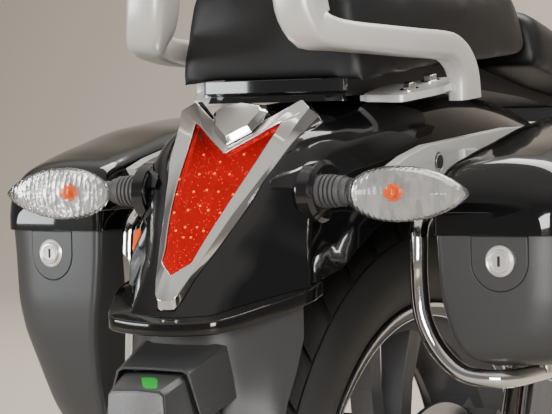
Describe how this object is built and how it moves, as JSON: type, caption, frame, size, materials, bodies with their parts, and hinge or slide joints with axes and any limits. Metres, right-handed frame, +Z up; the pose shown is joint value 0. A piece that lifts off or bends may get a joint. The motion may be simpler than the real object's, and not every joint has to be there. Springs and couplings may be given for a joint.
{
  "type": "motorcycle rear end",
  "caption": "Rear end of a touring motorcycle: spoked wheel on a swing arm, painted tail with V-shaped lamp, panniers with hinged lids, grab rail and seat.",
  "frame": {"origin": "centre of the upper frame bolt's bore, on the machine's centre plane, where the rear end bolts to the main frame", "axes": "+X to the machine's right along the bolt, +Y forwards, +Z up"},
  "size_m": [0.6758, 0.8982, 1.0039],
  "materials": {
    "frame_black": "satin",
    "bright_steel": "satin",
    "chrome": "polished",
    "dark_metal": "satin",
    "satin_black": "satin",
    "tyre": "matte",
    "gloss_black": "gloss",
    "dark_plastic": "satin",
    "gloss_trim": "gloss",
    "grey_plastic": "textured",
    "red_lens": "clear red",
    "reflector": "metallised red",
    "vinyl": "satin vinyl",
    "cast_silver": "satin lacquer",
    "box_plastic": "satin",
    "rubber": "satin",
    "clear_lens": "clear",
    "amber": "gloss"
  },
  "bodies": {
    "rear_end": {"upper_mount_tube": "frame_black", "lower_mount_tube": "frame_black", "rear_frame": "frame_black", "frame_crossbars": "frame_black", "pivot_plate_left": "frame_black", "pivot_plate_right": "frame_black", "pivot_bolt": "bright_steel", "swing_arm": "frame_black", "rear_axle": "bright_steel", "shock_left": "chrome", "shock_right": "chrome", "shock_spring_left": "chrome", "shock_spring_right": "chrome", "brake_caliper": "dark_metal", "chain_guard": "satin_black", "rear_fender": "gloss_black", "tail_lip": "gloss_black", "inner_guard": "dark_plastic", "plate_carrier": "gloss_trim", "plate_lamp": "dark_plastic", "plate_lamp_lens": "grey_plastic", "lamp_surround": "chrome", "lamp_lens": "red_lens", "lamp_housing": "reflector", "crest": "chrome", "pillion_seat": "vinyl", "rider_seat": "vinyl", "seat_base": "satin_black", "seat_trim": "gloss_trim", "grab_rail": "cast_silver", "fender_strut_left": "cast_silver", "fender_strut_right": "cast_silver", "pannier_left": "box_plastic", "pannier_right": "box_plastic", "latch_left": "box_plastic", "latch_right": "box_plastic", "guard_tube_left": "chrome", "guard_tube_right": "chrome", "indicator_base_left": "gloss_trim", "indicator_body_left": "rubber", "indicator_lens_left": "clear_lens", "indicator_bulb_left": "amber", "indicator_base_right": "gloss_trim", "indicator_body_right": "rubber", "indicator_lens_right": "clear_lens", "indicator_bulb_right": "amber"},
    "wheel": {"tyre": "tyre", "wheel_casting": "dark_metal", "brake_disc": "bright_steel", "sprocket": "bright_steel"},
    "left_lid": {"lid_left": "gloss_black"},
    "right_lid": {"lid_right": "gloss_black"}
  },
  "joints": [
    {"name": "wheel_spin", "type": "hinge", "parent": "rear_end", "child": "wheel", "pos_m": [0, -0.43, -0.335], "axis": [1, 0, 0], "continuous": true},
    {"name": "left_lid_hinge", "type": "hinge", "parent": "rear_end", "child": "left_lid", "pos_m": [-0.25, -0.23, -0.017], "axis": [-1, 0, 0], "range_deg": [0, 75]},
    {"name": "right_lid_hinge", "type": "hinge", "parent": "rear_end", "child": "right_lid", "pos_m": [0.25, -0.23, -0.017], "axis": [-1, 0, 0], "range_deg": [0, 75]}
  ]
}
